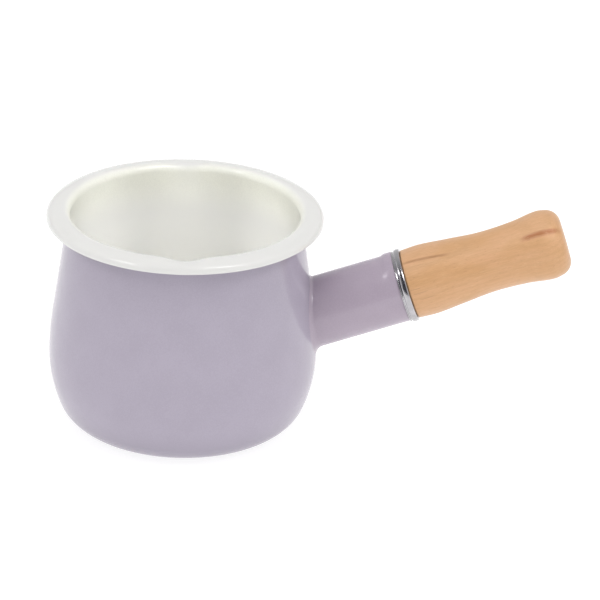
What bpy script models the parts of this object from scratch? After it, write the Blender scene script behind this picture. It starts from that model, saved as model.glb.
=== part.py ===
"""Small enamelled steel pouring pan with a rolled rim, two spouts and a turned wooden handle.

Metres, +Z up. The origin is the centre of the base's underside. The handle runs out along +X and
rises, and the spouts are at +Y and -Y. Every piece of the handle is turned about one axis, the
handle axis, which is the local Z of the empty "handle_axis"; a station is a distance along it,
counted from the axis of the pot.
"""
import math

import bmesh
import bpy
from mathutils import Matrix, Vector

# ---- Pot -----------------------------------------------------------------------------------
POT_HEIGHT = 0.1115
BELLY_RADIUS = 0.0667
BELLY_HEIGHT = 0.0350
BASE_INSET = 0.0196         # edge of the flat base, inside the belly
CORNER_RADIUS = 0.0157
SHOULDER_RADIUS = 0.140     # the outward bulge of the wall above the belly
WALL = 0.0012               # steel and both coats of enamel

# ---- Rolled rim ----------------------------------------------------------------------------
RIM_OVERHANG = 0.0014       # how far the rim's outer edge stands outside the belly
CREST_INSET = 0.0080        # the rim's highest line, inside its outer edge
FLARE_RADIUS = 0.0037       # face radius from the throat to the crest
FLANGE_RADIUS = 0.0145      # face radius of the slope from the crest outwards
EDGE_RADIUS = 0.0029        # face radius where the slope turns down
CURL_BEND_RADIUS = 0.0002   # inside radius of the tucked-under edge
CURL_TURN = math.radians(125)

# ---- Spouts --------------------------------------------------------------------------------
SPOUT_ANGLES = (math.radians(90), math.radians(270))
SPOUT_WIDTH = 0.0270
SPOUT_DIP = 0.0012
SPOUT_PUSH = 0.0014
SPOUT_DEPTH = 0.0160        # how far below the crest the channel fades into the wall

# ---- Handle --------------------------------------------------------------------------------
AXIS_HEIGHT = 0.0344        # where the handle axis crosses the pot's axis
HANDLE_RISE = math.radians(18.9)
SOCKET_LENGTH = 0.0447      # along the handle axis, from the pot's wall to the open end
SOCKET_RADIUS = 0.0174
SOCKET_WALL = 0.0012
LIP_HEIGHT = 0.0009         # the raised lip over the top of the socket's open end
LIP_LENGTH = 0.0058
LIP_RISE = 0.0026           # length of the lip's slope
LIP_SPREAD = math.radians(78)
BEAD_SIZE = 0.0024          # leg of the weld between the socket and the pot
BEAD_FILL = 0.22            # how far the weld's face stands from its root, as a share of the way out

RING_WIDTH = 0.0042
RING_PROUD = 0.0012         # how far the ring stands out of the socket
RING_EDGE = 0.0016

GRIP_LENGTH = 0.0802
GRIP_SWELL = (              # (share of the side's length, radius beyond the socket's)
    (0.00, -0.0001),
    (0.13, 0.0003),
    (0.32, -0.0009),
    (0.54, -0.0022),
    (0.76, -0.0016),
    (0.93, 0.0000),
    (1.00, -0.0008),
)
GRIP_EDGE = 0.0073          # rounding of the far end
GRIP_EDGE_LEAN = math.radians(14)
TENON_LENGTH = 0.0240
TENON_CHAMFER = 0.0015

# ---- Handle screw, its washers and its nut ---------------------------------------------------
SCREW_RADIUS = 0.0025
SCREW_CHAMFER = 0.0008
HEAD_RADIUS = 0.0044
HEAD_HEIGHT = 0.0036
HEAD_SIDE = 0.0021          # height of the head's straight side
BROW_RADIUS = 0.0031        # where the head's side has turned into its dome
BROW_DROP = 0.0003          # of that turn, below the dome's top
SLOT_WIDTH = 0.0012
SLOT_DEPTH = 0.0018
COUNTERBORE_RADIUS = 0.0058
COUNTERBORE_DEPTH = 0.0140
WASHER_RADIUS = 0.0050
WASHER_THICKNESS = 0.0010
LOCK_WASHER_RADIUS = 0.0044
LOCK_WASHER_THICKNESS = 0.0013
LOCK_WASHER_GAP = math.radians(24)
BRIDGE_THICKNESS = 0.0020
BRIDGE_TO_TENON = 0.0030
BRIDGE_WIDTH = 0.0150
NUT_ACROSS_FLATS = 0.0080
NUT_THICKNESS = 0.0040
SCREW_OVERRUN = 0.0030      # how far the screw runs on past its nut

# ---- Fits ----------------------------------------------------------------------------------
FIT_GAP = 0.0003            # between pieces that seat on, or in, each other
SCREW_CLEARANCE = 0.0006    # around the screw, in the wood

POT_SEGMENTS = 64
ROUND_SEGMENTS = 36
SMALL_SEGMENTS = 24
ARC_STEP = math.radians(15)

COLOURS = {                 # linear RGB, roughness, metallic
    "lavender_enamel": ((0.45, 0.42, 0.50), 0.22, 0.0),
    "polished_steel": ((0.62, 0.62, 0.64), 0.12, 1.0),
    "plated_steel": ((0.50, 0.50, 0.50), 0.35, 1.0),
    "beech": ((0.66, 0.40, 0.20), 0.42, 0.0),
}


def material(name):
    """One Principled material for each finish."""
    if name in bpy.data.materials:
        return bpy.data.materials[name]
    colour, roughness, metallic = COLOURS[name]
    made = bpy.data.materials.new(name)
    made.use_nodes = True
    shader = made.node_tree.nodes["Principled BSDF"]
    shader.inputs["Base Color"].default_value = (*colour, 1.0)
    shader.inputs["Roughness"].default_value = roughness
    shader.inputs["Metallic"].default_value = metallic
    made.diffuse_color = (*colour, 1.0)
    return made


# ---- Outlines ------------------------------------------------------------------------------
def arc(centre, radius, start, end, step=ARC_STEP):
    """Points (radius, height) on an arc, both ends included."""
    count = max(1, math.ceil(abs(end - start) / step - 1e-6))
    angles = [start + (end - start) * i / count for i in range(count + 1)]
    return [(centre[0] + radius * math.cos(a), centre[1] + radius * math.sin(a)) for a in angles]


def without_repeats(outline):
    """The outline with points that fall on the one before them left out."""
    kept = [outline[0]]
    for point in outline[1:]:
        if math.dist(point, kept[-1]) > 1e-6:
            kept.append(point)
    return kept


# The wall is one sheet. Its outer surface is the corner, the side below the belly, the shoulder
# above it, a straight run to the throat and then the underside of the rolled rim. All of them are
# arcs with fixed centres, so a surface at another depth in the sheet has the same centres.
RIM_RADIUS = BELLY_RADIUS + RIM_OVERHANG
CORNER_CENTRE = (BELLY_RADIUS - BASE_INSET, CORNER_RADIUS)
SIDE_RISE = BELLY_HEIGHT - CORNER_RADIUS
SIDE_RADIUS = (BASE_INSET ** 2 + SIDE_RISE ** 2 - CORNER_RADIUS ** 2) / (2 * (BASE_INSET - CORNER_RADIUS))
SIDE_CENTRE = (BELLY_RADIUS - SIDE_RADIUS, BELLY_HEIGHT)
SIDE_START = math.atan2(CORNER_CENTRE[1] - SIDE_CENTRE[1], CORNER_CENTRE[0] - SIDE_CENTRE[0])
SHOULDER_CENTRE = (BELLY_RADIUS - SHOULDER_RADIUS, BELLY_HEIGHT)
FLARE_CENTRE = (RIM_RADIUS - CREST_INSET, POT_HEIGHT - FLARE_RADIUS)
FLANGE_CENTRE = (RIM_RADIUS - CREST_INSET, POT_HEIGHT - FLANGE_RADIUS)
EDGE_RUN = CREST_INSET - EDGE_RADIUS
EDGE_LEAN = math.acos(EDGE_RUN / (FLANGE_RADIUS - EDGE_RADIUS))
EDGE_CENTRE = (RIM_RADIUS - EDGE_RADIUS, FLANGE_CENTRE[1] + EDGE_RUN * math.tan(EDGE_LEAN))
CURL_FACE_RADIUS = CURL_BEND_RADIUS + WALL
CURL_CENTRE = (RIM_RADIUS - CURL_FACE_RADIUS, EDGE_CENTRE[1])


def taper_angle():
    """Lean of the straight run, which touches the shoulder and the underside of the flare."""
    run = FLARE_CENTRE[0] - SHOULDER_CENTRE[0]
    rise = FLARE_CENTRE[1] - SHOULDER_CENTRE[1]
    reach = SHOULDER_RADIUS + FLARE_RADIUS - WALL
    return math.atan2(rise, run) - math.acos(reach / math.hypot(run, rise))


def wall_outline(depth):
    """The wall's surface from the centre of the base to the throat, depth inside the outer face."""
    taper = taper_angle()
    outline = [(0.0, depth)]
    outline += arc(CORNER_CENTRE, CORNER_RADIUS - depth, -math.pi / 2, SIDE_START)
    outline += arc(SIDE_CENTRE, SIDE_RADIUS - depth, SIDE_START, 0.0, math.radians(6))
    outline += arc(SHOULDER_CENTRE, SHOULDER_RADIUS - depth, 0.0, taper, math.radians(4))
    return outline


def rim_outline(depth):
    """The rolled rim's surface from the throat to its tucked edge, depth inside the wall's face."""
    back = WALL - depth
    throat = math.pi + taper_angle()
    outline = arc(FLARE_CENTRE, FLARE_RADIUS - back, throat, math.pi / 2, math.radians(25))
    outline += arc(FLANGE_CENTRE, FLANGE_RADIUS - back, math.pi / 2, EDGE_LEAN, math.radians(15))
    outline += arc(EDGE_CENTRE, EDGE_RADIUS - back, EDGE_LEAN, 0.0, math.radians(24))
    outline += arc(CURL_CENTRE, CURL_FACE_RADIUS - back, 0.0, -CURL_TURN, math.radians(32))
    return outline


def pot_radius(height):
    """Outer radius of the wall at a height, between the corner and the throat."""
    outline = wall_outline(0.0) + rim_outline(0.0)[:1]
    for (r0, z0), (r1, z1) in zip(outline, outline[1:]):
        if z0 <= height <= z1 and z1 > z0:
            return r0 + (r1 - r0) * (height - z0) / (z1 - z0)
    return outline[-1][0]


def station_at_wall(sideways, upwards, gap=FIT_GAP):
    """Station at which a line along the handle axis, offset from it, leaves the pot's wall."""
    near, far = 0.0, 2 * BELLY_RADIUS
    for _ in range(50):
        middle = (near + far) / 2
        point = handle_point(sideways, upwards, middle)
        if math.hypot(point.x, point.y) < pot_radius(point.z) + gap:
            near = middle
        else:
            far = middle
    return far


def handle_point(sideways, upwards, station):
    """A point in the world from its place beside the handle axis and along it."""
    along = Vector((math.cos(HANDLE_RISE), 0.0, math.sin(HANDLE_RISE)))
    above = Vector((-math.sin(HANDLE_RISE), 0.0, math.cos(HANDLE_RISE)))
    return Vector((0, 0, AXIS_HEIGHT)) + along * station + above * upwards + Vector((0, sideways, 0))


# Stations along the handle axis, each from the piece before it.
WALL_STATION = station_at_wall(0.0, 0.0, 0.0)
SOCKET_END = WALL_STATION + SOCKET_LENGTH
RING_START = SOCKET_END + FIT_GAP
GRIP_START = RING_START + RING_WIDTH + FIT_GAP
GRIP_END = GRIP_START + GRIP_LENGTH
TENON_END = RING_START - TENON_LENGTH
BRIDGE_END = TENON_END - BRIDGE_TO_TENON
BRIDGE_START = BRIDGE_END - BRIDGE_THICKNESS
NUT_START = BRIDGE_START - FIT_GAP - NUT_THICKNESS
COUNTERBORE_FLOOR = GRIP_END - COUNTERBORE_DEPTH
WASHER_START = COUNTERBORE_FLOOR + FIT_GAP
LOCK_WASHER_START = WASHER_START + WASHER_THICKNESS + FIT_GAP
HEAD_START = LOCK_WASHER_START + LOCK_WASHER_THICKNESS + FIT_GAP
SCREW_TIP = NUT_START - SCREW_OVERRUN

SOCKET_BORE = SOCKET_RADIUS - SOCKET_WALL
TENON_RADIUS = SOCKET_BORE - FIT_GAP
SCREW_HOLE_RADIUS = SCREW_RADIUS + SCREW_CLEARANCE
THREADED_HOLE_RADIUS = SCREW_RADIUS + FIT_GAP


# ---- Shapes --------------------------------------------------------------------------------
def finished(name, maker, finish, parent=None):
    """Turns a bmesh into a smooth-shaded object with one material."""
    bmesh.ops.remove_doubles(maker, verts=maker.verts, dist=1e-7)
    bmesh.ops.recalc_face_normals(maker, faces=maker.faces)
    mesh = bpy.data.meshes.new(name)
    maker.to_mesh(mesh)
    maker.free()
    mesh.shade_smooth()
    mesh.set_sharp_from_angle(angle=math.radians(35))
    mesh.materials.append(material(finish))
    made = bpy.data.objects.new(name, mesh)
    bpy.context.scene.collection.objects.link(made)
    made.parent = parent
    return made


def turned_mesh(outline, segments, start=0.0, turn=2 * math.pi):
    """A closed outline of (radius, height) points spun about Z; part turns get flat ends."""
    maker = bmesh.new()
    outline = without_repeats(outline)
    first = [maker.verts.new((r * math.cos(start), r * math.sin(start), z)) for r, z in outline]
    closed = outline[0][0] > 0 or outline[-1][0] > 0
    edges = [maker.edges.new(pair) for pair in zip(first, first[1:])]
    if closed:
        edges.append(maker.edges.new((first[-1], first[0])))
    whole = turn >= 2 * math.pi - 1e-6
    spun = bmesh.ops.spin(maker, geom=first + edges, cent=(0, 0, 0), axis=(0, 0, 1), dvec=(0, 0, 0),
                          angle=turn, steps=segments, use_merge=whole)
    if not whole:
        last = [item for item in spun["geom_last"] if isinstance(item, bmesh.types.BMEdge)]
        maker.faces.new(first)
        bmesh.ops.contextual_create(maker, geom=last)
    return maker


def ring_of(sections):
    """A closed band through closed sections, each a list of points, the last joined to the first."""
    maker = bmesh.new()
    loops = [[maker.verts.new(point) for point in section] for section in sections]
    for here, there in zip(loops, loops[1:] + loops[:1]):
        for i in range(len(here)):
            j = (i + 1) % len(here)
            maker.faces.new((here[i], here[j], there[j], there[i]))
    return maker


def turned(name, outline, finish, segments=ROUND_SEGMENTS, parent=None):
    """A solid of revolution about its local Z."""
    return finished(name, turned_mesh(outline, segments), finish, parent)


def cut(target, cutter):
    """Takes the cutter out of the target; the cutter stays as a guide and isn't a piece."""
    cutter.display_type = 'WIRE'
    cutter.hide_render = True
    difference = target.modifiers.new("cut by " + cutter.name, 'BOOLEAN')
    difference.operation = 'DIFFERENCE'
    difference.solver = 'EXACT'
    difference.object = cutter


def bell(offset, half_width):
    """1 in the middle, fading smoothly to 0 at half_width."""
    if abs(offset) >= half_width:
        return 0.0
    return 0.5 + 0.5 * math.cos(math.pi * offset / half_width)


def smooth(share):
    """A share held between 0 and 1, with soft ends."""
    held = min(max(share, 0.0), 1.0)
    return held * held * (3 - 2 * held)


# ---- Pieces --------------------------------------------------------------------------------
def press_spouts(maker):
    """Presses the pouring channels in: the sheet moves out and down, and the outer edge stays."""
    for vertex in maker.verts:
        x, y, z = vertex.co
        radius = math.hypot(x, y)
        height_share = smooth(1 - (POT_HEIGHT - z) / SPOUT_DEPTH)
        width_share = smooth((RIM_RADIUS - radius) / CREST_INSET)
        for angle in SPOUT_ANGLES:
            outward = Vector((math.cos(angle), math.sin(angle), 0))
            if outward.dot(vertex.co) <= 0:
                continue
            across = bell(outward.cross(vertex.co).z, SPOUT_WIDTH / 2)
            share = across * height_share * width_share
            vertex.co += outward * (SPOUT_PUSH * share) - Vector((0, 0, SPOUT_DIP * share))


def pot_body():
    """The drawn pot: one sheet from the base, up the wall and round the rolled rim."""
    outer = wall_outline(0.0) + rim_outline(0.0)
    inner = wall_outline(WALL) + rim_outline(WALL)
    maker = turned_mesh(outer + inner[::-1], POT_SEGMENTS)
    press_spouts(maker)
    return finished("pot_body", maker, "lavender_enamel")


def pot_cutter():
    """The pot's filled outside with the fit gap added, for shaping what is joined to it."""
    outline = wall_outline(-FIT_GAP) + rim_outline(-FIT_GAP)[:1]
    outline.append((0.0, outline[-1][1]))
    return turned("pot_outside", outline, "lavender_enamel", POT_SEGMENTS)


def raise_lip(maker):
    """Lifts the outside of the socket's end along its top, which is towards local -X."""
    slope_end = SOCKET_END - LIP_LENGTH + LIP_RISE
    for vertex in maker.verts:
        x, y, station = vertex.co
        radius = math.hypot(x, y)
        if station > slope_end - FIT_GAP and radius > SOCKET_BORE + FIT_GAP:
            lift = LIP_HEIGHT * bell(math.atan2(y, -x), LIP_SPREAD)
            vertex.co += Vector((x, y, 0)) * (lift / radius)


def handle_socket(parent, cutter):
    """The steel tube welded to the pot, with a raised lip over its top where the ring seats."""
    start = WALL_STATION - SOCKET_RADIUS
    lip_start = SOCKET_END - LIP_LENGTH
    outline = [
        (SOCKET_BORE, start),
        (SOCKET_RADIUS, start),
        (SOCKET_RADIUS, lip_start),
        (SOCKET_RADIUS, lip_start + LIP_RISE),
        (SOCKET_RADIUS, SOCKET_END),
        (SOCKET_BORE, SOCKET_END),
        (SOCKET_BORE, BRIDGE_START - FIT_GAP),
    ]
    maker = turned_mesh(outline, ROUND_SEGMENTS)
    raise_lip(maker)
    socket = finished("handle_socket", maker, "lavender_enamel", parent)
    cut(socket, cutter)
    return socket


def weld_section(angle):
    """The weld's hollow-faced triangle at one angle round the socket, as points in the world."""
    across, up = math.sin(angle), math.cos(angle)
    radius = SOCKET_RADIUS + FIT_GAP
    root_station = station_at_wall(radius * across, radius * up)
    wide = radius + BEAD_SIZE
    root = handle_point(radius * across, radius * up, root_station)
    on_socket = handle_point(radius * across, radius * up, root_station + BEAD_SIZE)
    on_pot = handle_point(wide * across, wide * up, station_at_wall(wide * across, wide * up))
    corner = on_socket + on_pot - root
    hollow = []
    for share in (0, 1 / 3, 2 / 3, 1):
        pull = root.lerp(corner, BEAD_FILL) * (2 * share * (1 - share))
        hollow.append(on_socket * (1 - share) ** 2 + pull + on_pot * share ** 2)
    return [root] + hollow


def socket_weld():
    """The fillet of weld and enamel round the foot of the socket."""
    sections = [weld_section(2 * math.pi * step / ROUND_SEGMENTS) for step in range(ROUND_SEGMENTS)]
    return finished("socket_weld", ring_of(sections), "lavender_enamel")


def ferrule_ring(parent):
    """The bright ring between the socket and the wood, round on its outside."""
    outside = SOCKET_RADIUS + RING_PROUD
    bore = TENON_RADIUS + FIT_GAP
    end = RING_START + RING_WIDTH
    outline = [(bore, RING_START)]
    outline += arc((outside - RING_EDGE, RING_START + RING_EDGE), RING_EDGE, -math.pi / 2, 0, math.radians(30))
    outline += arc((outside - RING_EDGE, end - RING_EDGE), RING_EDGE, 0, math.pi / 2, math.radians(30))
    outline.append((bore, end))
    return turned("ferrule_ring", outline, "polished_steel", parent=parent)


def grip_curve():
    """The grip's side, a smooth curve through its named swell, and the rounding of its far end."""
    side_length = GRIP_LENGTH - GRIP_EDGE * (1 - math.sin(GRIP_EDGE_LEAN))
    knots = [(GRIP_START + share * side_length, SOCKET_RADIUS + swell) for share, swell in GRIP_SWELL]
    slopes = []
    for i in range(len(knots)):
        low, high = knots[max(i - 1, 0)], knots[min(i + 1, len(knots) - 1)]
        slopes.append((high[1] - low[1]) / (high[0] - low[0]))
    slopes[-1] = -math.tan(GRIP_EDGE_LEAN)
    points = []
    for i in range(len(knots) - 1):
        (s0, r0), (s1, r1) = knots[i], knots[i + 1]
        for step in range(3):
            t = step / 3
            length = s1 - s0
            blend = t * t * (3 - 2 * t)
            radius = r0 + (r1 - r0) * blend
            radius += slopes[i] * length * t * (1 - t) ** 2 - slopes[i + 1] * length * t * t * (1 - t)
            points.append((radius, s0 + t * length))
    end_radius = knots[-1][1]
    edge_centre = (end_radius - GRIP_EDGE * math.cos(GRIP_EDGE_LEAN), GRIP_END - GRIP_EDGE)
    return points + arc(edge_centre, GRIP_EDGE, GRIP_EDGE_LEAN, math.pi / 2, math.radians(16))


def wooden_handle(parent):
    """The turned grip with its tenon, drilled right through and counterbored at the far end."""
    outline = [
        (SCREW_HOLE_RADIUS, TENON_END),
        (TENON_RADIUS - TENON_CHAMFER, TENON_END),
        (TENON_RADIUS, TENON_END + TENON_CHAMFER),
        (TENON_RADIUS, GRIP_START),
    ]
    outline += grip_curve()
    outline += [
        (COUNTERBORE_RADIUS, GRIP_END),
        (COUNTERBORE_RADIUS, COUNTERBORE_FLOOR),
        (SCREW_HOLE_RADIUS, COUNTERBORE_FLOOR),
    ]
    return turned("wooden_handle", outline, "beech", parent=parent)


def box_cutter(name, size, centre, parent):
    """A plain block, used to cut slots and flats."""
    maker = bmesh.new()
    bmesh.ops.create_cube(maker, size=1.0, matrix=Matrix.Translation(centre) @ Matrix.Diagonal((*size, 1.0)))
    return finished(name, maker, "plated_steel", parent)


def handle_screw(parent):
    """The long slotted screw that draws the handle into the socket."""
    dome = HEAD_START + HEAD_HEIGHT
    outline = [
        (0.0, SCREW_TIP),
        (SCREW_RADIUS - SCREW_CHAMFER, SCREW_TIP),
        (SCREW_RADIUS, SCREW_TIP + SCREW_CHAMFER),
        (SCREW_RADIUS, HEAD_START),
        (HEAD_RADIUS, HEAD_START),
        (HEAD_RADIUS, HEAD_START + HEAD_SIDE),
        (BROW_RADIUS, dome - BROW_DROP),
        (0.0, dome),
    ]
    screw = turned("handle_screw", outline, "plated_steel", SMALL_SEGMENTS, parent)
    size = (SLOT_WIDTH, 4 * HEAD_RADIUS, 2 * SLOT_DEPTH)
    cut(screw, box_cutter("screw_slot", size, (0, 0, dome), parent))
    return screw


def screw_washer(parent):
    """The flat washer on the floor of the counterbore."""
    bore = THREADED_HOLE_RADIUS
    end = WASHER_START + WASHER_THICKNESS
    outline = [(bore, WASHER_START), (WASHER_RADIUS, WASHER_START), (WASHER_RADIUS, end), (bore, end)]
    return turned("screw_washer", outline, "plated_steel", SMALL_SEGMENTS, parent)


def lock_washer(parent):
    """The split spring washer under the screw's head, drawn flat as it is when tight."""
    bore = THREADED_HOLE_RADIUS
    start, end = LOCK_WASHER_START, LOCK_WASHER_START + LOCK_WASHER_THICKNESS
    outline = [(bore, start), (LOCK_WASHER_RADIUS, start), (LOCK_WASHER_RADIUS, end), (bore, end)]
    maker = turned_mesh(outline, SMALL_SEGMENTS, LOCK_WASHER_GAP / 2, 2 * math.pi - LOCK_WASHER_GAP)
    return finished("lock_washer", maker, "plated_steel", parent)


def socket_bridge(parent):
    """The strap across the inside of the socket that the screw pulls against."""
    end_radius = SOCKET_BORE - FIT_GAP
    bore = THREADED_HOLE_RADIUS
    outline = [(bore, BRIDGE_START), (end_radius, BRIDGE_START), (end_radius, BRIDGE_END), (bore, BRIDGE_END)]
    bridge = turned("socket_bridge", outline, "plated_steel", ROUND_SEGMENTS, parent)
    for side in (-1, 1):
        size = (end_radius, 3 * end_radius, 4 * BRIDGE_THICKNESS)
        middle = side * (BRIDGE_WIDTH + end_radius) / 2
        name = "bridge_side_%s" % ("left" if side < 0 else "right")
        cut(bridge, box_cutter(name, size, (middle, 0, BRIDGE_START), parent))
    return bridge


def hexagon_radius(angle):
    """Distance from the nut's axis to its side at an angle; a flat faces angle 0."""
    from_flat = (angle + math.pi / 6) % (math.pi / 3) - math.pi / 6
    return NUT_ACROSS_FLATS / 2 / math.cos(from_flat)


def bridge_nut(parent):
    """The hexagonal nut welded behind the bridge."""
    bore, end = THREADED_HOLE_RADIUS, NUT_START + NUT_THICKNESS
    sections = []
    for step in range(SMALL_SEGMENTS):
        angle = 2 * math.pi * step / SMALL_SEGMENTS
        side = hexagon_radius(angle)
        outline = [(bore, NUT_START), (side, NUT_START), (side, end), (bore, end)]
        sections.append([Vector((r * math.cos(angle), r * math.sin(angle), z)) for r, z in outline])
    return finished("bridge_nut", ring_of(sections), "plated_steel", parent)


def handle_axis():
    """The empty that every piece of the handle is placed by: local Z runs along the handle."""
    axis = bpy.data.objects.new("handle_axis", None)
    axis.location = (0, 0, AXIS_HEIGHT)
    axis.rotation_euler = (0, math.pi / 2 - HANDLE_RISE, 0)
    bpy.context.scene.collection.objects.link(axis)
    return axis


def main():
    for old in list(bpy.data.objects):
        bpy.data.objects.remove(old, do_unlink=True)
    pot_body()
    socket_weld()
    axis = handle_axis()
    handle_socket(axis, pot_cutter())
    socket_bridge(axis)
    bridge_nut(axis)
    ferrule_ring(axis)
    wooden_handle(axis)
    handle_screw(axis)
    screw_washer(axis)
    lock_washer(axis)


main()
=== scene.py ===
"""Looks of the enamelled pouring pan: its fine surfaces, finishes, light and camera.

Metres, +Z up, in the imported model's frame: the origin is the centre of the base's underside and the
handle runs out along +X, rising. A station is a distance along the handle's axis, counted from the
axis of the pot. The pot's outline and the handle's pieces repeat the design's own values.
"""
import math

import bmesh
import bpy
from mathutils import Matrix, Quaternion, Vector, noise


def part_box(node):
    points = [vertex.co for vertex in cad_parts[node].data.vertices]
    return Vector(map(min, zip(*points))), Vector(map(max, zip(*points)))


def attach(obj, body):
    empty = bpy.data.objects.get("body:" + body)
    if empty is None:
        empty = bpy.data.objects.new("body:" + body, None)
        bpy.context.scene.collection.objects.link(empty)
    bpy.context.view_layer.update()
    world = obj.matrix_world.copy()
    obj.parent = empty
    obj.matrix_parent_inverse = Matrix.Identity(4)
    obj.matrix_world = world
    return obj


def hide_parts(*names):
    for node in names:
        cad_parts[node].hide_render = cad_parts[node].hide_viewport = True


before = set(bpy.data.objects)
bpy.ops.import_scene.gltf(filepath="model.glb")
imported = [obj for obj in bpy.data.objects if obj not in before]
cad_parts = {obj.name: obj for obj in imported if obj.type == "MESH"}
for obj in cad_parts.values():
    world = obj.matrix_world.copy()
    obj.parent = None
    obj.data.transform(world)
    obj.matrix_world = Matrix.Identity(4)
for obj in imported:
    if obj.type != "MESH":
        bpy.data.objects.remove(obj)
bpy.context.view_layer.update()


def middle(node):
    """Centre of a node's box, which lies on the handle's axis for a piece turned about it."""
    low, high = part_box(node)
    return (low + high) / 2


# ---- Pot, from the frame and the design -------------------------------------------------------
POT_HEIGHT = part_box("pot_body")[1].z
RIM_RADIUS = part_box("pot_body")[1].x
RIM_OVERHANG = 0.0014
BELLY_RADIUS = RIM_RADIUS - RIM_OVERHANG
BELLY_HEIGHT = 0.0350
BASE_INSET = 0.0196
CORNER_RADIUS = 0.0157
SHOULDER_RADIUS = 0.140
WALL = 0.0012
COAT = 0.0005               # how deep each enamelled skin reaches into the sheet

CREST_INSET = 0.0080
FLARE_RADIUS = 0.0037
FLANGE_RADIUS = 0.0145
EDGE_RADIUS = 0.0029
CURL_FACE_RADIUS = 0.0014
CURL_TURN = math.radians(125)

SPOUT_ANGLES = (math.radians(90), math.radians(270))
SPOUT_WIDTH = 0.0270
SPOUT_DIP = 0.0012
SPOUT_PUSH = 0.0014
SPOUT_DEPTH = 0.0160

# ---- Handle, from the frame and the design ----------------------------------------------------
RING_WIDTH = 0.0042
RING_PROUD = 0.0012
RING_MIDDLE = middle("ferrule_ring")
ALONG = (middle("screw_washer") - RING_MIDDLE).normalized()
HANDLE_RISE = math.atan2(ALONG.z, ALONG.x)
AXIS_HEIGHT = RING_MIDDLE.z - RING_MIDDLE.x * math.tan(HANDLE_RISE)
ABOVE = Vector((-math.sin(HANDLE_RISE), 0, math.cos(HANDLE_RISE)))
RING_START = RING_MIDDLE.x / math.cos(HANDLE_RISE) - RING_WIDTH / 2
SOCKET_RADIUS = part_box("ferrule_ring")[1].y - RING_PROUD

FIT_GAP = 0.0003
SOCKET_END = RING_START - FIT_GAP
SOCKET_WALL = 0.0012
LIP_HEIGHT = 0.0009         # the lip on the socket's top side, where the ring seats
LIP_START = 0.0058          # before the socket's end
LIP_RISE = 0.0026
LIP_SPREAD = math.radians(78)

GRIP_START = RING_START + RING_WIDTH + FIT_GAP
GRIP_LENGTH = 0.0802
GRIP_END = GRIP_START + GRIP_LENGTH
GRIP_SWELL = (              # (share of the side's length, radius beyond the socket's)
    (0.00, -0.0001),
    (0.13, 0.0003),
    (0.32, -0.0009),
    (0.54, -0.0022),
    (0.76, -0.0016),
    (0.93, 0.0000),
    (1.00, -0.0008),
)
GRIP_EDGE = 0.0073
GRIP_EDGE_LEAN = math.radians(14)
GRIP_START_ROUND = 0.0004
TENON_END = RING_START - 0.0240
TENON_RADIUS = SOCKET_RADIUS - SOCKET_WALL - FIT_GAP
TENON_CHAMFER = 0.0015
SCREW_RADIUS = 0.0025
SCREW_HOLE_RADIUS = 0.0031
COUNTERBORE_RADIUS = 0.0058
COUNTERBORE_ROUND = 0.0007
COUNTERBORE_FLOOR = GRIP_END - 0.0140
WASHER_RADIUS = 0.0050
WASHER_THICKNESS = 0.0010
LOCK_WASHER_RADIUS = 0.0044
LOCK_WASHER_THICKNESS = 0.0013
LOCK_WASHER_GAP = math.radians(24)
WASHER_BORE = SCREW_RADIUS + FIT_GAP
WASHER_START = COUNTERBORE_FLOOR + FIT_GAP
LOCK_WASHER_START = WASHER_START + WASHER_THICKNESS + FIT_GAP
HEAD_START = LOCK_WASHER_START + LOCK_WASHER_THICKNESS + FIT_GAP
HEAD_RADIUS = 0.0044
HEAD_HEIGHT = 0.0036
SLOT_WIDTH = 0.0012
SLOT_DEPTH = 0.0018
SCREW_TIP = TENON_END - 0.0123

# ---- Fineness ---------------------------------------------------------------------------------
POT_SEGMENTS = 256
HANDLE_SEGMENTS = 160
SMALL_SEGMENTS = 72
FINE = math.radians(5)
COARSE = math.radians(15)


# ---- Outlines ---------------------------------------------------------------------------------
def arc(centre, radius, start, end, step=FINE):
    """Points (radius, height) on an arc, both ends included."""
    count = max(1, math.ceil(abs(end - start) / step - 1e-6))
    angles = [start + (end - start) * i / count for i in range(count + 1)]
    return [(centre[0] + radius * math.cos(a), centre[1] + radius * math.sin(a)) for a in angles]


CORNER_CENTRE = (BELLY_RADIUS - BASE_INSET, CORNER_RADIUS)
SIDE_RISE = BELLY_HEIGHT - CORNER_RADIUS
SIDE_RADIUS = (BASE_INSET ** 2 + SIDE_RISE ** 2 - CORNER_RADIUS ** 2) / (2 * (BASE_INSET - CORNER_RADIUS))
SIDE_CENTRE = (BELLY_RADIUS - SIDE_RADIUS, BELLY_HEIGHT)
SIDE_START = math.atan2(CORNER_CENTRE[1] - SIDE_CENTRE[1], CORNER_CENTRE[0] - SIDE_CENTRE[0])
SHOULDER_CENTRE = (BELLY_RADIUS - SHOULDER_RADIUS, BELLY_HEIGHT)
FLARE_CENTRE = (RIM_RADIUS - CREST_INSET, POT_HEIGHT - FLARE_RADIUS)
FLANGE_CENTRE = (RIM_RADIUS - CREST_INSET, POT_HEIGHT - FLANGE_RADIUS)
EDGE_RUN = CREST_INSET - EDGE_RADIUS
EDGE_LEAN = math.acos(EDGE_RUN / (FLANGE_RADIUS - EDGE_RADIUS))
EDGE_CENTRE = (RIM_RADIUS - EDGE_RADIUS, FLANGE_CENTRE[1] + EDGE_RUN * math.tan(EDGE_LEAN))
CURL_CENTRE = (RIM_RADIUS - CURL_FACE_RADIUS, EDGE_CENTRE[1])
THROAT_RUN = FLARE_CENTRE[0] - SHOULDER_CENTRE[0]
THROAT_RISE = FLARE_CENTRE[1] - SHOULDER_CENTRE[1]
THROAT_REACH = SHOULDER_RADIUS + FLARE_RADIUS - WALL
TAPER = math.atan2(THROAT_RISE, THROAT_RUN) - math.acos(THROAT_REACH / math.hypot(THROAT_RUN, THROAT_RISE))


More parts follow.
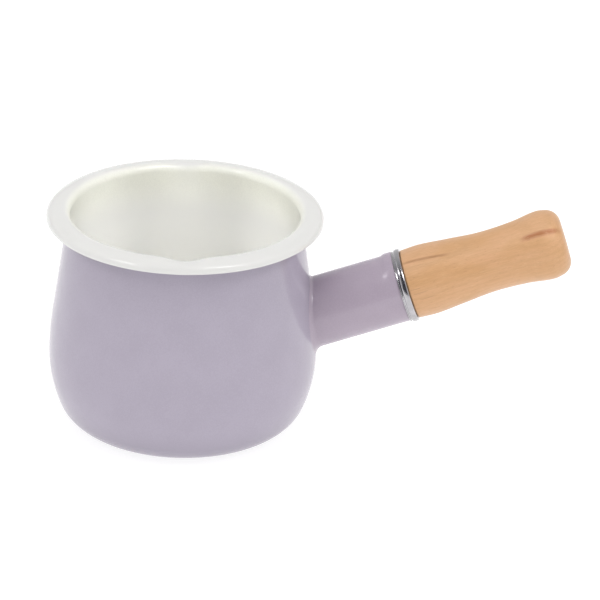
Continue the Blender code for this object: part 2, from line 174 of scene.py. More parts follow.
def pot_outline(depth, step):
    """The sheet's surface at a depth from its outer face, from the base's centre to the tucked edge."""
    back = WALL - depth
    outline = [(share * CORNER_CENTRE[0], depth) for share in (0.0, 0.25, 0.5, 0.75)]
    outline += arc(CORNER_CENTRE, CORNER_RADIUS - depth, -math.pi / 2, SIDE_START, step)
    outline += arc(SIDE_CENTRE, SIDE_RADIUS - depth, SIDE_START, 0.0, step / 2)
    outline += arc(SHOULDER_CENTRE, SHOULDER_RADIUS - depth, 0.0, TAPER, step / 4)
    outline += straight_run(outline[-1], depth, step)
    outline += arc(FLARE_CENTRE, FLARE_RADIUS - back, math.pi + TAPER, math.pi / 2, 2 * step)
    outline += arc(FLANGE_CENTRE, FLANGE_RADIUS - back, math.pi / 2, EDGE_LEAN, step)
    outline += arc(EDGE_CENTRE, EDGE_RADIUS - back, EDGE_LEAN, 0.0, 2 * step)
    outline += arc(CURL_CENTRE, CURL_FACE_RADIUS - back, 0.0, -CURL_TURN, 3 * step)
    return outline


def straight_run(start, depth, step):
    """Points between the shoulder and the throat, close enough together to follow the spouts."""
    back = WALL - depth
    lean = math.pi + TAPER
    throat = (
        FLARE_CENTRE[0] + (FLARE_RADIUS - back) * math.cos(lean),
        FLARE_CENTRE[1] + (FLARE_RADIUS - back) * math.sin(lean),
    )
    count = max(2, round(10 * FINE / step))
    shares = [i / count for i in range(1, count)]
    return [(start[0] + (throat[0] - start[0]) * t, start[1] + (throat[1] - start[1]) * t) for t in shares]


WALL_POINTS = [point for point in pot_outline(0.0, FINE) if point[1] < POT_HEIGHT - 2 * FLARE_RADIUS]


def pot_radius(height):
    """Outer radius of the wall at a height, between the base and the throat."""
    for (r0, z0), (r1, z1) in zip(WALL_POINTS, WALL_POINTS[1:]):
        if z0 <= height <= z1 and z1 > z0:
            return r0 + (r1 - r0) * (height - z0) / (z1 - z0)
    return WALL_POINTS[-1][0]


def handle_point(sideways, upwards, station):
    """A point in the world from its place beside the handle's axis and along it."""
    return Vector((0, sideways, AXIS_HEIGHT)) + ALONG * station + ABOVE * upwards


def station_at_wall(sideways, upwards, gap):
    """Station at which a line along the handle's axis, offset from it, leaves the pot's wall."""
    near, far = 0.0, 2 * BELLY_RADIUS
    for _ in range(40):
        halfway = (near + far) / 2
        point = handle_point(sideways, upwards, halfway)
        if math.hypot(point.x, point.y) < pot_radius(point.z) + gap:
            near = halfway
        else:
            far = halfway
    return far


def smooth(share):
    """A share held between 0 and 1, with soft ends."""
    held = min(max(share, 0.0), 1.0)
    return held * held * (3 - 2 * held)


def bell(offset, half_width):
    """1 in the middle, fading smoothly to 0 at half_width."""
    if abs(offset) >= half_width:
        return 0.0
    return 0.5 + 0.5 * math.cos(math.pi * offset / half_width)


# ---- Meshes -----------------------------------------------------------------------------------
def lofted(name, sections, sharp=math.radians(38), whole=True):
    """A closed body through closed loops of points; a part turn gets a face at each end."""
    maker = bmesh.new()
    loops = [[maker.verts.new(point) for point in section] for section in sections]
    following = loops[1:] + loops[:1] if whole else loops[1:]
    for here, there in zip(loops, following):
        for i in range(len(here)):
            j = (i + 1) % len(here)
            maker.faces.new((here[i], here[j], there[j], there[i]))
    if not whole:
        maker.faces.new(loops[0])
        maker.faces.new(loops[-1])
    bmesh.ops.remove_doubles(maker, verts=maker.verts, dist=1e-6)
    bmesh.ops.recalc_face_normals(maker, faces=maker.faces)
    mesh = bpy.data.meshes.new(name)
    maker.to_mesh(mesh)
    maker.free()
    mesh.shade_smooth()
    mesh.set_sharp_from_angle(angle=sharp)
    made = bpy.data.objects.new(name, mesh)
    bpy.context.scene.collection.objects.link(made)
    return made


def around(segments):
    """Equally spaced angles of a full turn."""
    return [2 * math.pi * step / segments for step in range(segments)]


def turned_on_handle(name, outline, segments=HANDLE_SEGMENTS):
    """A piece turned about the handle's axis from a closed outline of (radius, station)."""
    sections = []
    for angle in around(segments):
        across, up = math.sin(angle), math.cos(angle)
        sections.append([handle_point(r * across, r * up, s) for r, s in outline])
    return lofted(name, sections)


def in_spout(point):
    """Where a point of the pot goes when the pouring channels are pressed in."""
    radius = math.hypot(point.x, point.y)
    height_share = smooth(1 - (POT_HEIGHT - point.z) / SPOUT_DEPTH)
    width_share = smooth((RIM_RADIUS - radius) / CREST_INSET)
    for angle in SPOUT_ANGLES:
        outward = Vector((math.cos(angle), math.sin(angle), 0))
        if outward.dot(point) > 0:
            share = bell(outward.cross(point).z, SPOUT_WIDTH / 2) * height_share * width_share
            return point + outward * (SPOUT_PUSH * share) - Vector((0, 0, SPOUT_DIP * share))
    return point


# ---- Pieces -----------------------------------------------------------------------------------
def pot_skin(name, face_depth, back_depth):
    """One enamelled skin of the pot: a fine visible face and a plain back inside the sheet."""
    outline = pot_outline(face_depth, FINE) + pot_outline(back_depth, COARSE)[::-1]
    sections = []
    for angle in around(POT_SEGMENTS):
        across, along = math.sin(angle), math.cos(angle)
        sections.append([in_spout(Vector((r * along, r * across, z))) for r, z in outline])
    return lofted(name, sections)


def lip(angle, station):
    """Height of the socket's lip, which is only on its top side."""
    rise = smooth((station - (SOCKET_END - LIP_START)) / LIP_RISE)
    return LIP_HEIGHT * rise * bell(angle, LIP_SPREAD)


def handle_socket():
    """The steel tube between the pot and the ring, cut to the pot's wall at one end."""
    steps = 40
    end_round = 0.0003
    end = RING_START
    bore = SOCKET_RADIUS - SOCKET_WALL
    sections = []
    for turn in around(HANDLE_SEGMENTS):
        angle = turn if turn <= math.pi else turn - 2 * math.pi
        across, up = math.sin(angle), math.cos(angle)
        foot = station_at_wall(SOCKET_RADIUS * across, SOCKET_RADIUS * up, FIT_GAP / 4)
        bore_foot = station_at_wall(bore * across, bore * up, FIT_GAP)
        section = []
        for i in range(steps + 1):
            station = foot + (end - end_round - foot) * i / steps
            section.append((SOCKET_RADIUS + lip(angle, station), station))
        outer_end = section[-1][0]
        section += arc((outer_end - end_round, end - end_round), end_round, 0, math.pi / 2, COARSE)
        section += [(bore, end), (bore, bore_foot)]
        sections.append([handle_point(r * across, r * up, s) for r, s in section])
    return lofted("socket_shell", sections)


def socket_weld():
    """The fillet of weld and enamel round the socket's foot, fuller below, with a small drip."""
    top_leg, bottom_leg = 0.0023, 0.0040
    drip_height, drip_spread = 0.0007, math.radians(15)
    hollow_steps = 12
    sunk = 0.0001
    sections = []
    for turn in around(HANDLE_SEGMENTS):
        across, up = math.sin(turn), math.cos(turn)
        wobble = noise.noise(Vector((3 * across, 3 * up, 7.0)))
        leg = top_leg + (bottom_leg - top_leg) * smooth(0.5 - up / 2) + 0.0004 * wobble
        radius = SOCKET_RADIUS - sunk
        wide = radius + leg
        foot = station_at_wall(radius * across, radius * up, -sunk)
        root = handle_point(radius * across, radius * up, foot)
        on_socket = handle_point(radius * across, radius * up, foot + leg)
        on_pot = handle_point(wide * across, wide * up, station_at_wall(wide * across, wide * up, -sunk))
        corner = on_socket + on_pot - root
        fullness = 0.05 + bell(turn - math.pi, drip_spread) * drip_height / leg
        pull_point = root.lerp(corner, fullness)
        section = [root]
        for i in range(hollow_steps + 1):
            t = i / hollow_steps
            point = on_socket * (1 - t) ** 2 + pull_point * (2 * t * (1 - t)) + on_pot * t ** 2
            section.append(point)
        sections.append(section)
    return lofted("weld_fillet", sections, math.radians(60))


def ring_section():
    """The ring's closed outline: a thin lip beside the socket, a groove and a full round bead."""
    bore = TENON_RADIUS + FIT_GAP
    outside = SOCKET_RADIUS + RING_PROUD
    lip_top = outside - 0.0005
    groove = outside - 0.0009
    lip_round = 0.0003
    bead_start = RING_START + 0.0012
    bead_end = RING_START + RING_WIDTH
    bead_half = (bead_end - bead_start) / 2
    outline = [(bore, RING_START)]
    outline += arc((lip_top - lip_round, RING_START + lip_round), lip_round, -math.pi / 2, math.pi / 2)
    outline += [(groove, RING_START + 0.0008), (groove, bead_start)]
    bead_steps = 20
    for i in range(1, bead_steps):
        angle = math.pi * i / bead_steps
        height = groove + (outside - groove) * math.sin(angle) ** 0.6
        outline.append((height, bead_start + bead_half * (1 - math.cos(angle))))
    outline += [(groove, bead_end), (bore, bead_end)]
    return outline


def grip_curve():
    """The grip's side, a smooth curve through its swell, and the rounding of its far end."""
    steps = 14
    side_length = GRIP_LENGTH - GRIP_EDGE * (1 - math.sin(GRIP_EDGE_LEAN))
    knots = [(GRIP_START + share * side_length, SOCKET_RADIUS + swell) for share, swell in GRIP_SWELL]
    slopes = []
    for i in range(len(knots)):
        low, high = knots[max(i - 1, 0)], knots[min(i + 1, len(knots) - 1)]
        slopes.append((high[1] - low[1]) / (high[0] - low[0]))
    slopes[-1] = -math.tan(GRIP_EDGE_LEAN)
    points = []
    for i in range(len(knots) - 1):
        (s0, r0), (s1, r1) = knots[i], knots[i + 1]
        length = s1 - s0
        for step in range(steps):
            t = step / steps
            radius = r0 + (r1 - r0) * smooth(t)
            radius += slopes[i] * length * t * (1 - t) ** 2 - slopes[i + 1] * length * t * t * (1 - t)
            points.append((radius, s0 + t * length))
    edge_centre = (knots[-1][1] - GRIP_EDGE * math.cos(GRIP_EDGE_LEAN), GRIP_END - GRIP_EDGE)
    return points + arc(edge_centre, GRIP_EDGE, GRIP_EDGE_LEAN, math.pi / 2)


def wooden_handle():
    """The turned grip with its tenon, its screw hole and its counterbore."""
    curve = grip_curve()
    start_radius = curve[0][0]
    start_round = arc(
        (start_radius - GRIP_START_ROUND, GRIP_START + GRIP_START_ROUND), GRIP_START_ROUND,
        -math.pi / 2, 0, COARSE)
    bore_round = arc(
        (COUNTERBORE_RADIUS + COUNTERBORE_ROUND, GRIP_END - COUNTERBORE_ROUND), COUNTERBORE_ROUND,
        math.pi / 2, math.pi, COARSE)
    outline = [
        (SCREW_HOLE_RADIUS, TENON_END),
        (TENON_RADIUS - TENON_CHAMFER, TENON_END),
        (TENON_RADIUS, TENON_END + TENON_CHAMFER),
        (TENON_RADIUS, GRIP_START),
    ]
    outline += start_round + curve[1:] + bore_round
    outline += [(COUNTERBORE_RADIUS, COUNTERBORE_FLOOR), (SCREW_HOLE_RADIUS, COUNTERBORE_FLOOR)]
    return turned_on_handle("turned_grip", outline)


def screw():
    """The long screw with its domed, slotted head."""
    dome = HEAD_START + HEAD_HEIGHT
    brow = 0.0006
    shank_end = SCREW_RADIUS * 0.3
    outline = [
        (0.0, SCREW_TIP),
        (SCREW_RADIUS - shank_end, SCREW_TIP),
        (SCREW_RADIUS, SCREW_TIP + shank_end),
        (SCREW_RADIUS, HEAD_START),
        (HEAD_RADIUS - 0.0002, HEAD_START),
        (HEAD_RADIUS, HEAD_START + 0.0002),
    ]
    outline += arc((HEAD_RADIUS - brow, dome - 2 * brow), brow, 0, math.radians(60), FINE)
    crown_start = outline[-1]
    for i in range(1, 9):
        share = i / 8
        crown = crown_start[1] + (dome - crown_start[1]) * math.sin(share * math.pi / 2)
        outline.append((crown_start[0] * (1 - share), crown))
    made = turned_on_handle("slotted_screw", outline, SMALL_SEGMENTS)
    cut_slot(made, dome)
    return made


def cut_slot(head, dome):
    """Cuts the screwdriver slot across the head and keeps the result as the head's own mesh."""
    cutter_mesh = bpy.data.meshes.new("slot_cutter")
    maker = bmesh.new()
    bmesh.ops.create_cube(maker, size=1.0)
    for vertex in maker.verts:
        side, length, depth = vertex.co
        vertex.co = handle_point(side * SLOT_WIDTH, length * 4 * HEAD_RADIUS, dome + depth * 2 * SLOT_DEPTH)
    bmesh.ops.recalc_face_normals(maker, faces=maker.faces)
    maker.to_mesh(cutter_mesh)
    maker.free()
    cutter = bpy.data.objects.new("slot_cutter", cutter_mesh)
    bpy.context.scene.collection.objects.link(cutter)
    difference = head.modifiers.new("slot", 'BOOLEAN')
    difference.operation = 'DIFFERENCE'
    difference.solver = 'EXACT'
    difference.object = cutter
    seen = head.evaluated_get(bpy.context.evaluated_depsgraph_get())
    head.data = bpy.data.meshes.new_from_object(seen)
    head.modifiers.clear()
    bpy.data.objects.remove(cutter)


def washer_outline(bore, radius, start, thickness):
    """A flat washer's outline with its stamped edges eased."""
    ease = 0.00012
    end = start + thickness
    return [
        (bore, start + ease), (bore + ease, start), (radius - ease, start), (radius, start + ease),
        (radius, end - ease), (radius - ease, end), (bore + ease, end), (bore, end - ease),
    ]


def lock_washer():
    """The split spring washer, drawn flat as it is when tight."""
    outline = washer_outline(WASHER_BORE, LOCK_WASHER_RADIUS, LOCK_WASHER_START, LOCK_WASHER_THICKNESS)
    sections = []
    for i in range(SMALL_SEGMENTS + 1):
        angle = LOCK_WASHER_GAP / 2 + (2 * math.pi - LOCK_WASHER_GAP) * i / SMALL_SEGMENTS
        sections.append([handle_point(r * math.sin(angle), r * math.cos(angle), s) for r, s in outline])
    return lofted("spring_washer", sections, whole=False)


# ---- Material helpers -------------------------------------------------------------------------
class Finish:
    """A material with a Principled shader and short ways to add procedural nodes to it."""

    def __init__(self, name, **constants):
        self.material = bpy.data.materials.new(name)
        self.material.use_nodes = True
        self.nodes = self.material.node_tree.nodes
        self.links = self.material.node_tree.links
        self.shader = self.nodes["Principled BSDF"]
        for socket, value in constants.items():
            self.shader.inputs[socket.replace("_", " ")].default_value = value
        self.place = self.nodes.new("ShaderNodeTexCoord").outputs["Object"]

    def join(self, value, socket):
        """Links a socket's value, or sets a plain one."""
        if isinstance(value, bpy.types.NodeSocket):
            self.links.new(value, socket)
        else:
            socket.default_value = value

    def math(self, operation, first, second=0.0, third=0.0):
        node = self.nodes.new("ShaderNodeMath")
        node.operation = operation
        for socket, value in zip(node.inputs, (first, second, third)):
            self.join(value, socket)
        return node.outputs[0]

    def stretched(self, place, scale):
        """Coordinates multiplied by a scale for each axis."""
        node = self.nodes.new("ShaderNodeVectorMath")
        node.operation = 'MULTIPLY'
        self.join(place, node.inputs[0])
        node.inputs[1].default_value = scale
        return node.outputs[0]

    def noise(self, place, size, detail=2.0, roughness=0.5, distortion=0.0):
        """Soft noise whose features are about one size (metres) across."""
        node = self.nodes.new("ShaderNodeTexNoise")
        self.join(place, node.inputs["Vector"])
        node.inputs["Scale"].default_value = 1 / size
        node.inputs["Detail"].default_value = detail
        node.inputs["Roughness"].default_value = roughness
        node.inputs["Distortion"].default_value = distortion
        return node.outputs["Fac"]

    def ranged(self, value, low, high, to_low=0.0, to_high=1.0, soft=True):
        """The value's range low to high, brought to another range and held inside it."""
        node = self.nodes.new("ShaderNodeMapRange")
        node.interpolation_type = 'SMOOTHSTEP' if soft else 'LINEAR'
        for socket, number in zip(node.inputs, (value, low, high, to_low, to_high)):
            self.join(number, socket)
        return node.outputs[0]

    def mixed(self, share, first, second):
        """One colour blended into another."""
        node = self.nodes.new("ShaderNodeMix")
        node.data_type = 'RGBA'
        self.join(share, node.inputs["Factor"])
        colours = [socket for socket in node.inputs if socket.type == 'RGBA']
        for socket, colour in zip(colours, (first, second)):
            self.join(colour if isinstance(colour, bpy.types.NodeSocket) else (*colour, 1.0), socket)
        return [socket for socket in node.outputs if socket.type == 'RGBA'][0]

    def split(self, place):
        """The three coordinates of a place."""
        node = self.nodes.new("ShaderNodeSeparateXYZ")
        self.join(place, node.inputs[0])
        return node.outputs

    def colour(self, value):
        self.join(value, self.shader.inputs["Base Color"])

    def roughness(self, value):
        self.join(value, self.shader.inputs["Roughness"])

    def bump(self, height, depth):
        """Relief whose full height is a depth in metres; a second call adds to the first."""
        node = self.nodes.new("ShaderNodeBump")
        node.inputs["Distance"].default_value = depth
        self.join(height, node.inputs["Height"])
        normal = self.shader.inputs["Normal"]
        if normal.is_linked:
            self.links.new(normal.links[0].from_socket, node.inputs["Normal"])
        self.links.new(node.outputs["Normal"], normal)

    def handle_place(self):
        """Coordinates along the handle: Z is the station, -X is up and Y is the world's."""
        node = self.nodes.new("ShaderNodeMapping")
        node.vector_type = 'TEXTURE'
        node.inputs["Location"].default_value = (0, 0, AXIS_HEIGHT)
        node.inputs["Rotation"].default_value = (0, math.pi / 2 - HANDLE_RISE, 0)
        self.links.new(self.place, node.inputs["Vector"])
        return node.outputs["Vector"]


# ---- Materials --------------------------------------------------------------------------------
LAVENDER = (0.418, 0.378, 0.462)
SOCKET_LAVENDER = (0.420, 0.355, 0.430)
# partly the enamel's own cream, partly painted light: the inside's colour is a far brighter copy of the
# rim's white, lifting the shaded bowl to the rim's brightness
CREAM_PAINTED_LIGHT = (0.955, 0.955, 0.870)
RIM_WHITE = (0.765, 0.760, 0.742)


def tinted(colour, factor):
    """A colour made a little darker or lighter."""
    return tuple(channel * factor for channel in colour)


def enamel(name, colour, smoothest=0.10, roughest=0.17):
    """Fired glass enamel: cloudy tone, tiny specks, a soft gloss and the faint waves of dipping."""
    finish = Finish(name, IOR=1.52)
    cloud = finish.noise(finish.place, 0.016, 3)
    speck = finish.noise(finish.place, 0.0007, 2)
    tone = finish.math('MULTIPLY_ADD', cloud, 0.4, finish.math('MULTIPLY', speck, 0.6))
    base = finish.mixed(finish.ranged(tone, 0.36, 0.64), tinted(colour, 0.97), tinted(colour, 1.03))
    finish.roughness(finish.ranged(finish.noise(finish.place, 0.009, 2), 0.3, 0.7, smoothest, roughest))
    finish.bump(finish.noise(finish.place, 0.0065, 2), 0.00006)
    finish.bump(finish.noise(finish.place, 0.0011, 2), 0.000006)
    return finish, base


def pot_lavender():
    """The outside's lavender, with painted shade darkening it towards the base in place of a contact
    shadow.
    """
    finish, base = enamel("lavender_enamel_fine", LAVENDER)
    height = finish.split(finish.place)[2]
    # painted shade: the lavender darkens to 0.8 of itself over the lowest 22 mm, standing in for shadow
    # near the floor
    painted_base_shade = finish.ranged(height, 0.022, 0.0)
    finish.colour(finish.mixed(painted_base_shade, base, tinted(LAVENDER, 0.80)))
    return finish.material


def socket_lavender():
    """The same enamel on the socket, where it is a little warmer."""
    finish, base = enamel("lavender_enamel_socket", SOCKET_LAVENDER, 0.19, 0.25)
    finish.colour(base)
    return finish.material


def pot_cream():
    """The inside's cream, a brighter copy of the rim's white enamel, painted light for the shaded bowl; the
    rolled rim keeps the plainer white.
    """
    finish, base = enamel("cream_enamel_fine", CREAM_PAINTED_LIGHT)
    x, y, _ = finish.split(finish.place)
    radius = finish.math('SQRT', finish.math('MULTIPLY_ADD', x, x, finish.math('MULTIPLY', y, y)))
    crest = RIM_RADIUS - CREST_INSET
    # the painted light of the inside ends over the flare, where the rim's plainer white takes over
    on_rim = finish.ranged(radius, crest - FLARE_RADIUS, crest)
    finish.colour(finish.mixed(on_rim, base, RIM_WHITE))
    return finish.material


def polished_steel():
    """Bright plated steel with faint lines round the ring from its polishing."""
    finish = Finish("polished_steel_fine", Metallic=1.0)
    place = finish.handle_place()
    lines = finish.noise(finish.stretched(place, (0.05, 0.05, 1.0)), 0.00012, 2)
    stain = finish.noise(place, 0.004, 3)
    finish.colour(finish.mixed(finish.ranged(stain, 0.35, 0.65), (0.47, 0.46, 0.48), (0.53, 0.52, 0.54)))
    finish.roughness(finish.ranged(lines, 0.3, 0.7, 0.17, 0.23))
    return finish.material


def plated_steel():
    """Duller zinc-plated fasteners, mottled and lightly brushed."""
    finish = Finish("plated_steel_fine", Metallic=1.0)
    mottle = finish.noise(finish.place, 0.0016, 3)
    finish.colour(finish.mixed(finish.ranged(mottle, 0.3, 0.7), (0.46, 0.46, 0.47), (0.64, 0.63, 0.61)))
    finish.roughness(finish.ranged(mottle, 0.3, 0.7, 0.28, 0.42))
    finish.bump(finish.noise(finish.place, 0.0004, 2), 0.000008)
    return finish.material


STREAKS = (
    # station from, to; angle above the near side from, to; half width; darkness; colour
    (0.1160, 0.1440, 63.0, 57.0, 0.00055, 0.85, (0.42, 0.19, 0.07)),
    (0.1760, 0.1990, 45.0, 44.0, 0.00095, 0.95, (0.40, 0.13, 0.035)),
    (0.1180, 0.1245, 12.6, 12.0, 0.00018, 0.55, (0.45, 0.24, 0.11)),
    (0.1185, 0.1280, 3.8, 5.0, 0.00018, 0.50, (0.45, 0.24, 0.11)),
    (0.1215, 0.1300, -6.4, -5.8, 0.00020, 0.45, (0.45, 0.24, 0.11)),
)


def beech():
    """Pale oiled beech, its grain along the handle, with ray flecks and a few dark streaks."""
    finish = Finish("beech_fine", Coat_Weight=0.25, Coat_Roughness=0.30)
    place = finish.handle_place()
    warp = finish.noise(finish.stretched(place, (1.0, 1.0, 0.22)), 0.014, 2)
    x, y, station = finish.split(place)
    rings = finish.math('MULTIPLY_ADD', y, 0.35, x)
    rings = finish.math('MULTIPLY_ADD', warp, 0.005, rings)
    bands = finish.math('SINE', finish.math('MULTIPLY', rings, 2 * math.pi / 0.0030))
    fibre = finish.noise(finish.stretched(place, (1.0, 1.0, 0.045)), 0.00045, 3, 0.6)
    patches = finish.noise(finish.stretched(place, (1.0, 1.0, 0.4)), 0.012, 2)
    flecks = finish.noise(finish.stretched(place, (1.0, 1.0, 0.16)), 0.00036, 1)

    base = finish.mixed(finish.ranged(patches, 0.35, 0.65), (0.645, 0.356, 0.163), (0.690, 0.390, 0.200))
    base = finish.mixed(finish.ranged(bands, -0.2, 1.0, 0.0, 0.22), base, (0.560, 0.310, 0.135))
    base = finish.mixed(finish.ranged(fibre, 0.42, 0.70, 0.0, 0.22), base, (0.520, 0.285, 0.125))
    base = finish.mixed(finish.ranged(fibre, 0.46, 0.28, 0.0, 0.28), base, (0.770, 0.520, 0.300))
    base = finish.mixed(finish.ranged(flecks, 0.62, 0.72, 0.0, 0.38), base, (0.470, 0.235, 0.100))

    angle = finish.math('ARCTAN2', finish.math('MULTIPLY', x, -1.0), finish.math('MULTIPLY', y, -1.0))
    arc_length = finish.math('MULTIPLY', angle, SOCKET_RADIUS)
    for begin, end, from_degrees, to_degrees, half_width, darkness, tint in STREAKS:
        share = finish.ranged(station, begin, end, soft=False)
        low, high = (math.radians(value) * SOCKET_RADIUS for value in (from_degrees, to_degrees))
        centre = finish.math('MULTIPLY_ADD', share, high - low, low)
        centre = finish.math('MULTIPLY_ADD', finish.math('SUBTRACT', warp, 0.5), 0.002, centre)
        off = finish.math('ABSOLUTE', finish.math('SUBTRACT', arc_length, centre))
        line = finish.ranged(off, 0.3 * half_width, 2.2 * half_width, 1.0, 0.0)
        fade = 0.25 * (end - begin)
        opening = finish.ranged(station, begin, begin + fade)
        closing = finish.ranged(station, end - fade, end, 1.0, 0.0)
        mask = finish.math('MULTIPLY', finish.math('MULTIPLY', opening, closing), line)
        mask = finish.math('MULTIPLY', mask, finish.ranged(fibre, 0.2, 0.6, 0.55, 1.0))
        base = finish.mixed(finish.math('MULTIPLY', mask, darkness), base, tint)

    finish.colour(base)
    finish.roughness(finish.ranged(fibre, 0.3, 0.7, 0.40, 0.52))
    finish.bump(fibre, 0.000015)
    finish.bump(finish.noise(place, 0.006, 2), 0.00008)
    return finish.material


def pale_floor():
    """A pale matt surface with its own faint glow, as a light table has."""
    finish = Finish("pale_floor", Roughness=0.8, Emission_Color=(1, 1, 1, 1), Emission_Strength=0.80)
    grain = finish.noise(finish.place, 0.05, 2)
    finish.colour(finish.mixed(grain, (0.32, 0.32, 0.32), (0.36, 0.36, 0.36)))
    return finish.material


def gloss_card():
    """A matt card that is black in front of the object and greyer towards its back."""
    finish = Finish("gloss_card", Roughness=0.9)
    fade = finish.ranged(finish.split(finish.place)[1], -1.15, 0.90)
    finish.colour(finish.mixed(fade, (0.035, 0.035, 0.045), (0.50, 0.50, 0.50)))
    return finish.material


def white_wall():
    """The far walls' even white."""
    finish = Finish("white_wall", Roughness=0.9, Emission_Color=(1, 1, 1, 1), Emission_Strength=1.0)
    finish.colour(finish.mixed(finish.noise(finish.place, 2.0), (0.7, 0.7, 0.7), (0.8, 0.8, 0.8)))
    return finish.material


def bright_card():
    """A glowing card for crisp highlights."""
    finish = Finish("bright_card", Roughness=0.9, Emission_Color=(1, 1, 1, 1), Emission_Strength=8.0)
    finish.colour(finish.mixed(finish.noise(finish.place, 0.3), (0.7, 0.7, 0.7), (0.8, 0.8, 0.8)))
    return finish.material


# ---- Camera, light and floor ------------------------------------------------------------------
CAMERA_PLACE = Vector((-0.0044, -1.48266, 0.75097))
CAMERA_AIM = Vector((0.0577, -0.00006, 0.06297))
CAMERA_ROLL = math.radians(2.0)
CAMERA_LENS = 197.4
SENSOR = 36


ROOM_HALF, ROOM_HEIGHT = 6.0, 6.0
FLOOR_DROP = -0.0002        # just under the object, so the two faces don't coincide
SQUARE = ((-1, -1), (1, -1), (1, 1), (-1, 1))
CARD_ARCH = (               # (y, z) from the floor in front, over the object, to low behind it
    (-1.20, 0.01), (-1.35, 0.60), (-1.05, 1.15), (-0.35, 1.45), (0.45, 1.30), (1.00, 0.78),
)
CARD_HALF_WIDTH = 0.75
GLINTS = ((0.22, 0.80), (-0.95, -0.62))     # (x from, x to) of the bright strips over the front
GLINT_HEIGHT = 1.1
GLINT_NEAR, GLINT_FAR = -0.60, -0.28
CAMERA_ONLY = ("diffuse", "glossy", "shadow")
GLOSS_ONLY = ("camera", "diffuse", "shadow")
BOWL_LIGHT_DISTANCE = 1.3
BOWL_BEAM_RADIUS = 0.048    # at the mouth, so that the beam stays off the rim
WORLD_STRENGTH = 0.71


def place_camera():
    """A long lens, a little above the object, turned a little about its own line of sight."""
    data = bpy.data.cameras.new("camera")
    data.lens = CAMERA_LENS
    data.sensor_width = SENSOR
    camera = bpy.data.objects.new("camera", data)
    camera.location = CAMERA_PLACE
    facing = (CAMERA_AIM - CAMERA_PLACE).to_track_quat('-Z', 'Y')
    camera.rotation_mode = 'QUATERNION'
    camera.rotation_quaternion = facing @ Quaternion((0, 0, 1), CAMERA_ROLL)
    bpy.context.scene.collection.objects.link(camera)
    bpy.context.scene.camera = camera


def aimed(data, place, aim):
    """Puts a light in its place and turns it to a point."""
    light = bpy.data.objects.new(data.name, data)
    light.location = place
    light.rotation_euler = (aim - place).to_track_quat('-Z', 'Y').to_euler()
    bpy.context.scene.collection.objects.link(light)
    return light


def soft_light(name, place, size, power, aim=Vector((0.03, 0, 0.06))):
    """A rectangular soft box that faces the object."""
    data = bpy.data.lights.new(name, 'AREA')
    data.shape = 'RECTANGLE'
    data.size, data.size_y = size
    data.energy = power
    aimed(data, Vector(place), aim).visible_glossy = False


def sheet(name, corners, material, unseen_by=()):
    """A flat four-cornered surface of the set, hidden from some kinds of ray."""
    mesh = bpy.data.meshes.new(name)
    mesh.from_pydata([Vector(corner) for corner in corners], [], [(0, 1, 2, 3)])
    made = bpy.data.objects.new(name, mesh)
    made.data.materials.append(material)
    bpy.context.scene.collection.objects.link(made)
    for rays in unseen_by:
        setattr(made, "visible_" + rays, False)


def walls():
    """Four far white walls that only the camera sees, so the floor has no edge against the light."""
    material = white_wall()
    for i, (first, second) in enumerate(zip(SQUARE, SQUARE[1:] + SQUARE[:1])):
        low = [(x * ROOM_HALF, y * ROOM_HALF, FLOOR_DROP) for x, y in (first, second)]
        high = [(x, y, ROOM_HEIGHT) for x, y, _ in reversed(low)]
        sheet("wall_%d" % i, low + high, material, CAMERA_ONLY)


def card_arch():
    """An arched card that only the gloss sees, so it takes no light off the object."""
    material = gloss_card()
    for i, (near, far) in enumerate(zip(CARD_ARCH, CARD_ARCH[1:])):
        corners = [
            (-CARD_HALF_WIDTH, *near), (CARD_HALF_WIDTH, *near),
            (CARD_HALF_WIDTH, *far), (-CARD_HALF_WIDTH, *far),
        ]
        sheet("gloss_card_%d" % i, corners, material, GLOSS_ONLY)


def glint_strips():
    """Two bright strips that only the gloss sees, for the highlights along the rim."""
    material = bright_card()
    for i, (left, right) in enumerate(GLINTS):
        corners = [
            (left, GLINT_NEAR, GLINT_HEIGHT), (right, GLINT_NEAR, GLINT_HEIGHT),
            (right, GLINT_FAR, GLINT_HEIGHT), (left, GLINT_FAR, GLINT_HEIGHT),
        ]
        sheet("glint_strip_%d" % i, corners, material, GLOSS_ONLY)


def bowl_light(name, turn, elevation, power):
    """A narrow spot that only lights the inside of the bowl; its turn is from the front to the right."""
    mouth = Vector((0, 0, POT_HEIGHT))
    level = Vector((math.sin(turn), -math.cos(turn), 0)) * math.cos(elevation)
    away = (level + Vector((0, 0, math.sin(elevation)))) * BOWL_LIGHT_DISTANCE
    data = bpy.data.lights.new(name, 'SPOT')
    data.energy = power
    data.spot_size = 2 * math.atan(BOWL_BEAM_RADIUS * math.sin(elevation) / BOWL_LIGHT_DISTANCE)
    data.spot_blend = 0.5
    data.shadow_soft_size = 0.012
    aimed(data, mouth + away, mouth)


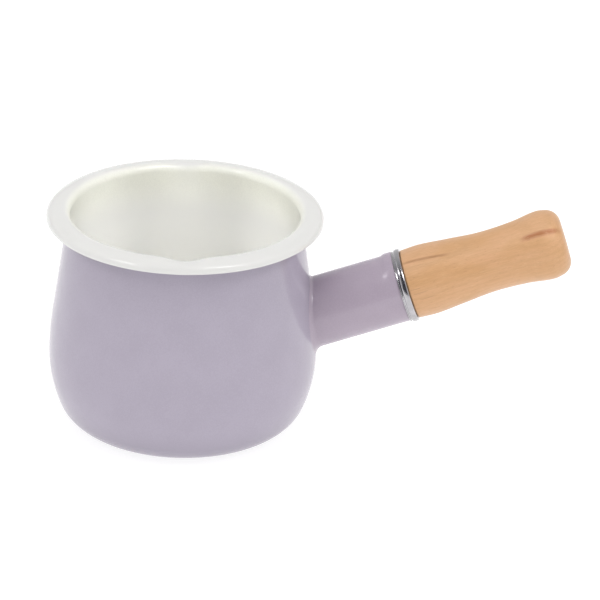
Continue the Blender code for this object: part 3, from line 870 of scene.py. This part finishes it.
def studio():
    """Pale floor, white surroundings, a card arch for the gloss, soft boxes and the bowl's lights."""
    sheet("floor", [(x * ROOM_HALF, y * ROOM_HALF, FLOOR_DROP) for x, y in SQUARE], pale_floor())
    walls()
    card_arch()
    glint_strips()
    soft_light("overhead", (-0.1, -0.2, 1.7), (0.8, 0.8), 6.0)
    soft_light("front_left", (-0.84, -0.49, 1.05), (0.9, 0.25), 1.5)
    soft_light("front_right", (0.90, -0.49, 1.05), (0.9, 0.25), 2.8)
    soft_light("back", (-0.7, 1.1, 0.55), (0.8, 0.5), 1.0)
    bowl_light("bowl_top", 0, math.radians(80), 9)
    bowl_light("bowl_front", 0, math.radians(34), 32)
    bowl_light("bowl_left", math.radians(-48), math.radians(35), 42)
    bowl_light("bowl_right", math.radians(48), math.radians(35), 42)
    world = bpy.data.worlds.new("white_room")
    world.use_nodes = True
    background = world.node_tree.nodes["Background"]
    background.inputs["Color"].default_value = (1, 1, 1, 1)
    background.inputs["Strength"].default_value = WORLD_STRENGTH
    bpy.context.scene.world = world
    bpy.context.scene.view_settings.view_transform = 'Standard'


# ---- The whole object -------------------------------------------------------------------------
def dress(piece, material, slot, *nodes):
    """Gives a piece its finish, hides the CAD nodes it replaces and lets it ride on the one body."""
    piece.data.materials.clear()
    piece.data.materials.append(material)
    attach(piece, "root")
    if nodes:
        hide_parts(*nodes)


def build_object():
    """Makes each piece with its finish, and gives the two CAD nodes that stay a better one."""
    outside = pot_lavender()
    socket_outside = socket_lavender()
    inside = pot_cream()
    steel = polished_steel()
    fastener = plated_steel()
    dress(pot_skin("enamel_outside", 0.0, COAT), outside, "lavender_enamel", "pot_body")
    dress(pot_skin("enamel_inside", WALL, WALL - COAT), inside, "white_enamel", "pot_body")
    dress(handle_socket(), socket_outside, "lavender_enamel", "handle_socket")
    dress(socket_weld(), socket_outside, "lavender_enamel", "socket_weld")
    dress(turned_on_handle("ring", ring_section()), steel, "polished_steel", "ferrule_ring")
    dress(wooden_handle(), beech(), "handle_wood", "wooden_handle")
    dress(screw(), fastener, "plated_steel", "handle_screw")
    washer = washer_outline(WASHER_BORE, WASHER_RADIUS, WASHER_START, WASHER_THICKNESS)
    dress(turned_on_handle("flat_washer", washer, SMALL_SEGMENTS), fastener, "plated_steel", "screw_washer")
    dress(lock_washer(), fastener, "plated_steel", "lock_washer")
    for node in ("socket_bridge", "bridge_nut"):
        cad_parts[node].material_slots[0].material = fastener


place_camera()
studio()
build_object()
